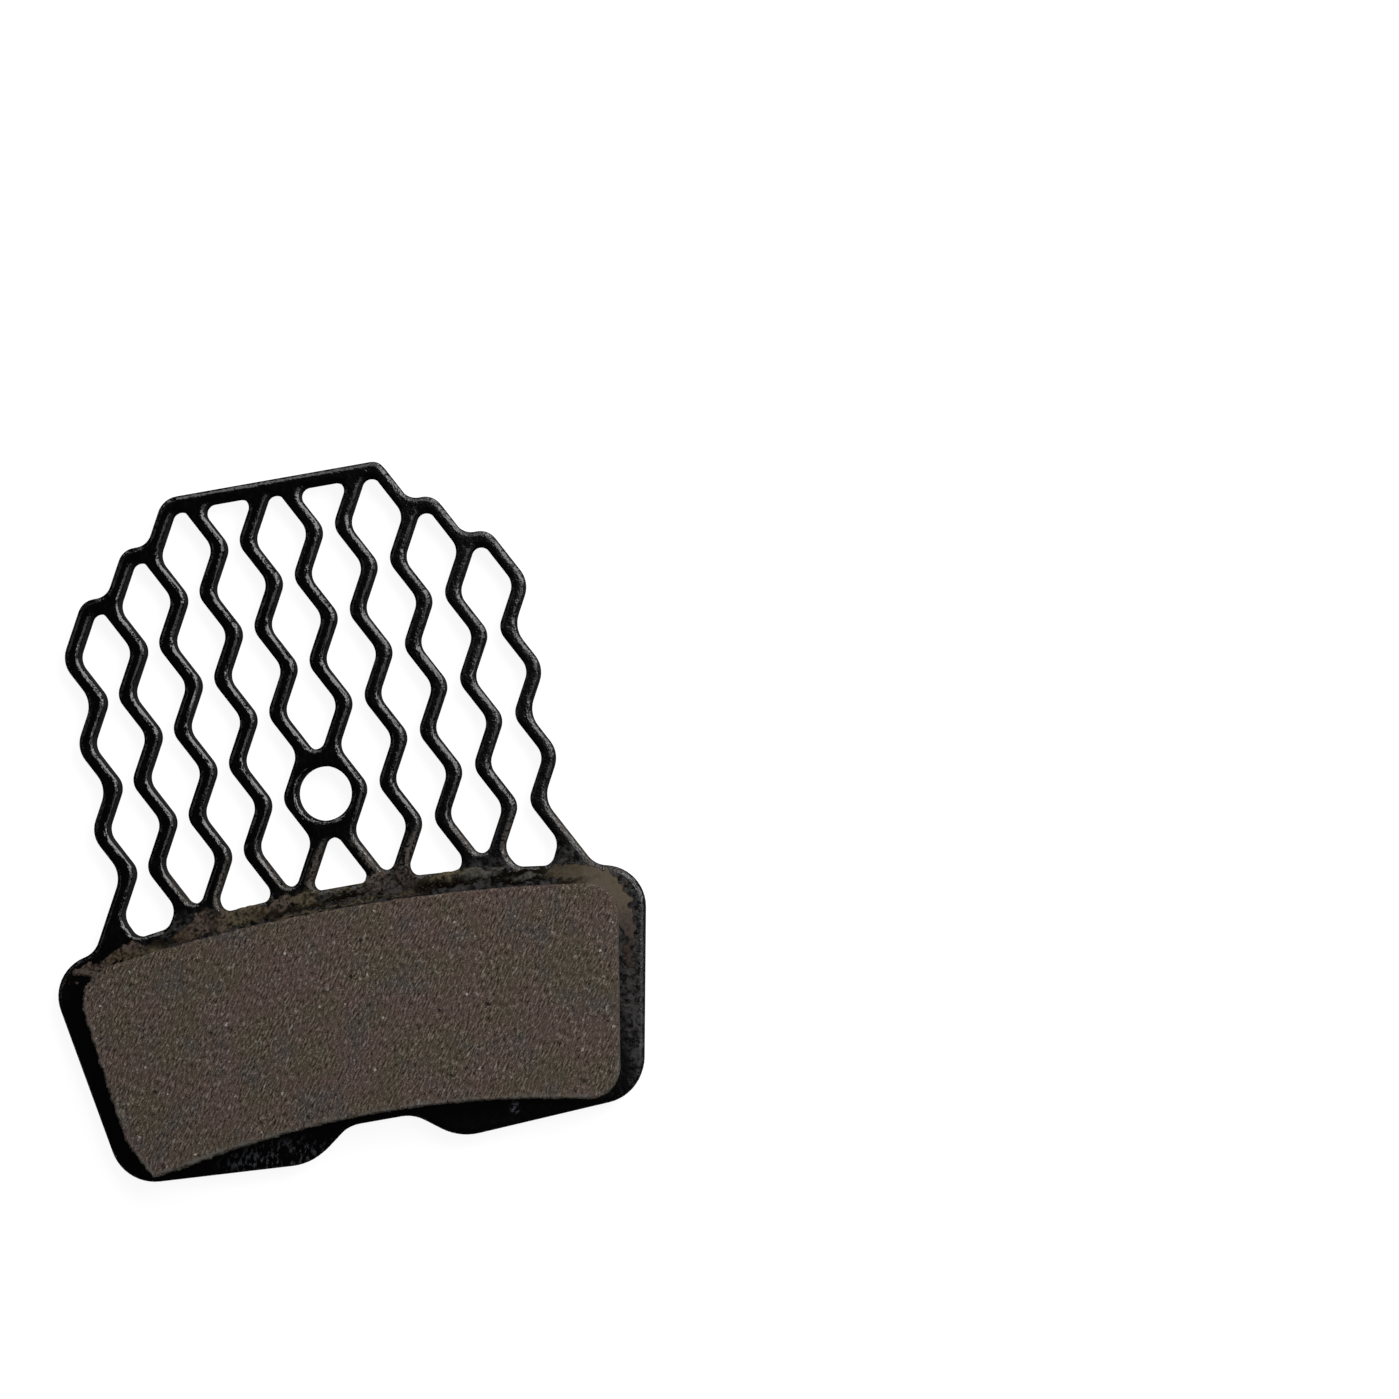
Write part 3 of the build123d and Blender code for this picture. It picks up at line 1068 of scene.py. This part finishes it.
@dataclass
class LedgeFlash:
    """A thin film of compound on the plate's ledge and round the roots of its struts."""

    crumb: float = 0.09 * MM
    film: float = 0.04 * MM
    shell: float = 0.05 * MM
    tuck: float = 0.35 * MM
    top: float = -4.4 * MM
    foot: float = -16.5 * MM
    root: float = 1.0 * MM
    crook: float = 0.5
    bare: float = 0.5
    edge: float = -0.3
    steepest: float = 0.15
    seed: int = 4
    finish: MouldFlash = field(default_factory=MouldFlash)
    smears: tuple[Smear, ...] = (
        # The thin SOOT bands along the lining's upper edge paint the shade of the crevice there.
        Smear(-17.9, -9.25, 1.3, 0.45, 1.2, Tone.MAUVE),
        Smear(-16.0, -8.5, 1.0, 0.45, 1.2, Tone.BROWN),
        Smear(-14.8, -8.1, 0.9, 0.35, 1.2, Tone.MAUVE),
        Smear(-14.0, -8.6, 1.3, 0.30, 1.2, Tone.OLIVE),
        Smear(-12.9, -8.2, 1.5, 0.22, 1.0, Tone.SOOT),
        Smear(-10.9, -7.9, 0.9, 0.45, 1.2, Tone.BROWN),
        Smear(-9.8, -7.3, 0.7, 0.80, 1.4, Tone.MAUVE),
        Smear(-9.05, -7.2, 0.25, 0.7, 1.6, Tone.SOOT),
        Smear(-8.35, -7.5, 0.5, 0.60, 1.1, Tone.MAUVE),
        Smear(-7.4, -7.4, 1.1, 0.60, 1.4, Tone.OLIVE),
        Smear(-6.7, -7.2, 0.35, 0.12, 2.0, Tone.SOOT),
        Smear(-5.8, -7.3, 0.8, 0.50, 1.2, Tone.BROWN),
        Smear(-4.7, -7.5, 1.1, 0.14, 1.6, Tone.SOOT),
        Smear(-4.2, -6.8, 0.8, 0.45, 1.0, Tone.MAUVE),
        Smear(-2.5, -6.9, 0.9, 0.45, 1.2, Tone.OLIVE),
        Smear(-2.3, -7.4, 1.1, 0.12, 1.4, Tone.SOOT),
        Smear(0.2, -6.7, 1.6, 0.22, 1.0, Tone.OLIVE),
        Smear(0.6, -7.2, 1.5, 0.14, 1.4, Tone.SOOT),
        Smear(-3.4, -7.9, 1.6, 0.16, 1.0, Tone.BUFF),
        Smear(1.6, -7.75, 1.2, 0.16, 1.1, Tone.OLIVE),
        Smear(-0.8, -7.8, 1.2, 0.16, 1.1, Tone.OLIVE),
        Smear(4.2, -7.85, 1.2, 0.12, 0.9, Tone.BUFF),
        Smear(2.5, -6.4, 0.6, 0.80, 1.1, Tone.CLAY),
        Smear(4.4, -6.7, 0.8, 0.80, 1.2, Tone.DUSK),
        Smear(5.7, -7.3, 0.7, 0.40, 1.5, Tone.SOOT),
        Smear(7.2, -6.9, 1.4, 0.25, 1.1, Tone.OLIVE),
        Smear(7.3, -7.6, 2.1, 0.26, 1.8, Tone.SOOT),
        Smear(9.45, -7.15, 0.75, 0.30, 1.6, Tone.GREY),
        Smear(11.0, -7.2, 0.5, 0.18, 1.2, Tone.GREY),
        Smear(10.95, -7.85, 0.6, 0.30, 1.5, Tone.SOOT),
        Smear(12.9, -7.75, 1.4, 0.13, 1.6, Tone.SOOT),
        Smear(12.8, -8.0, 1.3, 0.08, 1.0, Tone.GREY),
        Smear(12.8, -8.25, 1.4, 0.13, 1.6, Tone.SOOT),
        Smear(15.6, -8.15, 1.3, 0.60, 1.4, Tone.BUFF),
        Smear(15.9, -9.0, 1.1, 0.12, 2.5, Tone.SOOT),
        Smear(17.0, -8.9, 0.9, 0.60, 1.4, Tone.TAN),
        Smear(17.9, -9.5, 0.9, 0.80, 1.5, Tone.TAN),
        Smear(18.8, -10.9, 0.6, 0.90, 1.4, Tone.TAN),
        Smear(18.9, -12.4, 0.5, 1.00, 1.3, Tone.ROSE),
        Smear(18.7, -14.4, 0.4, 1.20, 1.1, Tone.UMBER),
    )

    def build(self, plate: Piece) -> Piece:
        """Lift a film off the plate's own surface, where the flash lies.

        Args:
            plate: The finished plate.

        Returns:
            The film, not yet dressed.
        """
        noise.seed_set(self.seed)
        piece = bpy.data.objects.new("ledge_flash", plate.data.copy())
        bpy.context.scene.collection.objects.link(piece)
        with editing(piece):
            for place, outward in (((0, self.top, 0), (0, 1, 0)), ((0, self.foot, 0), (0, -1, 0)),
                                   ((0, 0, self.root), (0, 0, -1))):
                bpy.ops.mesh.select_all(action="SELECT")
                bpy.ops.mesh.bisect(plane_co=place, plane_no=outward, use_fill=True, clear_outer=True)
        apply_modifier(piece, "REMESH", mode="VOXEL", voxel_size=self.crumb)
        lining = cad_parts["friction_lining"]
        with editing(piece):
            pick(piece, Part.FACE, lambda part: not self.is_wanted(part, lining))
            bpy.ops.mesh.delete(type="FACE")
        layers = [self.layer(vertex.co.x / MM, vertex.co.y / MM) for vertex in piece.data.vertices]
        tints = [value for _, tint in layers for value in tint]
        piece.data.color_attributes.new("tint", "FLOAT_COLOR", "POINT").data.foreach_set("color", tints)
        thick = weigh(piece, "thick", lambda vertex: max(0.0, min(1.0, 0.5 + 2 * layers[vertex.index][0])))
        apply_modifier(piece, "DISPLACE", strength=2 * self.film, mid_level=0, vertex_group=thick)
        apply_modifier(piece, "DISPLACE", strength=-self.film, mid_level=0)
        apply_modifier(piece, "SOLIDIFY", thickness=self.shell, offset=-1)
        make_active(piece)
        bpy.ops.object.shade_smooth()
        return piece

    def is_wanted(self, part: bmesh.types.BMFace, lining: Piece) -> bool:
        """Say whether a face of the plate's front can carry flash."""
        centre = part.calc_center_median()
        if part.normal.z < self.steepest or self.layer(centre.x / MM, centre.y / MM)[0] < self.edge:
            return False
        if abs(centre.y - self.top) < self.crumb or abs(centre.y - self.foot) < self.crumb:
            return False
        for step in (Vector((0, self.tuck, 0)), Vector((self.tuck, 0, 0)), Vector((-self.tuck, 0, 0))):
            if not lining.ray_cast(centre + step, Vector((0, 0, 1)))[0]:
                return True
        return False

    def layer(self, x: float, y: float) -> tuple[float, Vector]:
        """Work out the film at a point of the pad.

        Args:
            x: The point's place across the pad in millimetres.
            y: The point's place along the pad in millimetres.

        Returns:
            The film's thickness as a share of its full one, below 0 where there is none, and its colour.
        """
        crooked = self.crook * noise.noise_vector(Vector((2.4 * x, 2.4 * y, 5.0)))
        here = [(smear.at(x + crooked.x, y + 0.6 * crooked.y), smear.tone) for smear in self.smears]
        total = sum(weight for weight, _ in here)
        mixed = sum((Vector(tone.value) * weight for weight, tone in here), Vector.Fill(4, 0.0))
        tint = mixed / max(total, 0.01)
        uneven = 0.5 * noise.fractal(Vector((1.3 * x, 2.2 * y, 0.5)), 1.0, 2.0, 4)
        uneven += 0.25 * noise.noise(Vector((4 * x, 4 * y, 3.0)))
        thickness = total - self.bare + (0.2 + 0.8 * tint.w) * uneven
        soiled = 0.4 * noise.fractal(Vector((2.2 * x, 2.6 * y, 7.0)), 0.8, 2.0, 2)
        soiled += 0.7 * noise.noise(Vector((5 * x, 5 * y, 9.0)))
        cover = max(0.0, min(1.0, 8 * thickness)) * max(0.0, min(1.2, 0.9 + 2.4 * tint.w * soiled))
        return thickness, Vector(Tone.SOOT.value).lerp(tint, cover)

    def dress(self, piece: Piece, effects: Effects) -> None:
        """Give the film its finish."""
        hand_over(piece, Slot.LINING, self.finish.material(effects))


# The studio

@dataclass(frozen=True)
class Softbox:
    """One square lamp that faces the pad.

    Attributes:
        name: The lamp's name.
        azimuth: Its direction in degrees from +X.
        elevation: Its height above the floor in degrees.
        distance: Its distance from the pad.
        size: The length of its side.
        power: Its power in watts.
    """

    name: str
    azimuth: float
    elevation: float
    distance: float
    size: float
    power: float

    def build(self, target: Vector) -> None:
        """Hang the lamp so that it faces the target."""
        lamp = bpy.data.lights.new(self.name, "AREA")
        lamp.size = self.size
        lamp.energy = self.power
        rig = bpy.data.objects.new(self.name, lamp)
        bpy.context.scene.collection.objects.link(rig)
        turn = Euler((0, -math.radians(self.elevation), math.radians(self.azimuth))).to_matrix()
        away = turn @ Vector((1, 0, 0))
        rig.location = target + away * self.distance
        rig.rotation_euler = away.to_track_quat("Z", "Y").to_euler()


@dataclass(frozen=True)
class Camera:
    """A camera that looks down on the pad from the photograph's place; lengths are in millimetres.

    Attributes:
        focal: Its focal length in pixels.
        image: The picture's side in pixels.
        tilt: Turn about the picture's own X axis in degrees.
        lean: Turn about the picture's own Y axis in degrees.
        spin: Turn about the pad's Z axis in degrees.
        offset: The pin hole's place, seen from the camera.
        sensor: The sensor's width.
    """

    focal: float = 3500.0
    image: float = 1399.0
    tilt: float = -2.047
    lean: float = -0.550
    spin: float = 10.036
    offset: tuple[float, float, float] = (-25.728, -6.502, -241.883)
    sensor: float = 36.0

    def build(self) -> None:
        """Set the camera up and make it the scene's own."""
        lens = bpy.data.cameras.new("camera")
        lens.sensor_width = self.sensor
        lens.lens = self.focal / self.image * self.sensor
        lens.clip_start = 5 * MM
        rig = bpy.data.objects.new("camera", lens)
        bpy.context.scene.collection.objects.link(rig)
        turn = Matrix.Identity(3)
        for angle, axis in ((self.lean, "Y"), (self.tilt, "X"), (self.spin, "Z")):
            turn @= Matrix.Rotation(math.radians(angle), 3, axis)
        turn.transpose()
        rig.matrix_world = Matrix.Translation(turn @ Vector(self.offset) * -MM) @ turn.to_4x4()
        bpy.context.scene.camera = rig


@dataclass
class Studio:
    """A white table under soft light, and the camera."""

    floor_size: float = 4.0
    floor_drop: float = 0.01 * MM
    air: float = 0.025
    glow: float = 0.92
    table: Colour = (0.18, 0.18, 0.18, 1)
    softboxes: tuple[Softbox, ...] = (
        Softbox("key", 35, 45, 0.27, 0.18, 0.73),
        Softbox("side", -22, 48, 0.55, 0.28, 0.32),
        Softbox("rim", 92, 38, 0.60, 0.30, 0.80),
        Softbox("back", 152, 40, 0.55, 0.20, 0.08),
    )
    camera: Camera = field(default_factory=Camera)

    def build(self) -> None:
        """Lay the table, hang the lamps and set the camera up."""
        self.lay_table()
        self.fill_air()
        low, high = CAD_BOX
        for softbox in self.softboxes:
            softbox.build((low + high) / 2)
        self.camera.build()
        bpy.context.scene.view_settings.view_transform = "Standard"

    def lay_table(self) -> None:
        """Lay a table that the camera and reflections see as white, darkened only by the pad's shadow."""
        bpy.ops.object.select_all(action="DESELECT")
        bpy.ops.mesh.primitive_plane_add(size=self.floor_size, location=(0, 0, -self.floor_drop))
        table = bpy.context.object
        table.name = "table"
        bpy.ops.object.transform_apply(location=True)
        material, wiring, shader = new_material("white_table")
        shader.inputs["Base Color"].default_value = self.table
        shader.inputs["Roughness"].default_value = 1.0
        shader.inputs["Specular IOR Level"].default_value = 0.0
        rays = wiring.node("LightPath").outputs
        seen = wiring.math("MAXIMUM", rays["Is Camera Ray"], rays["Is Glossy Ray"])
        seen = wiring.math("MAXIMUM", seen, rays["Is Transmission Ray"])
        shader.inputs["Emission Color"].default_value = (1, 1, 1, 1)
        wiring.tree.links.new(wiring.math("MULTIPLY", seen, self.glow), shader.inputs["Emission Strength"])
        table.data.materials.append(material)

    def fill_air(self) -> None:
        """Fill the room with dim even light."""
        world = bpy.data.worlds.new("studio_air")
        world.use_nodes = True
        background = world.node_tree.nodes["Background"]
        background.inputs["Color"].default_value = (1, 1, 1, 1)
        background.inputs["Strength"].default_value = self.air
        bpy.context.scene.world = world


def main() -> None:
    """Build and dress the pad, then the studio round it."""
    logging.basicConfig(level=logging.INFO, format="%(asctime)s %(name)s %(message)s")
    effects = make_effects()
    plate = CoatedPlate()
    plate_piece = plate.build()
    lining = GroundLining()
    lining_piece = lining.build()
    flash = LedgeFlash()
    flash_piece = flash.build(plate_piece)
    plate.dress(plate_piece, effects)
    lining.dress(lining_piece, effects)
    flash.dress(flash_piece, effects)
    Studio().build()


if __name__ == "__main__":
    main()
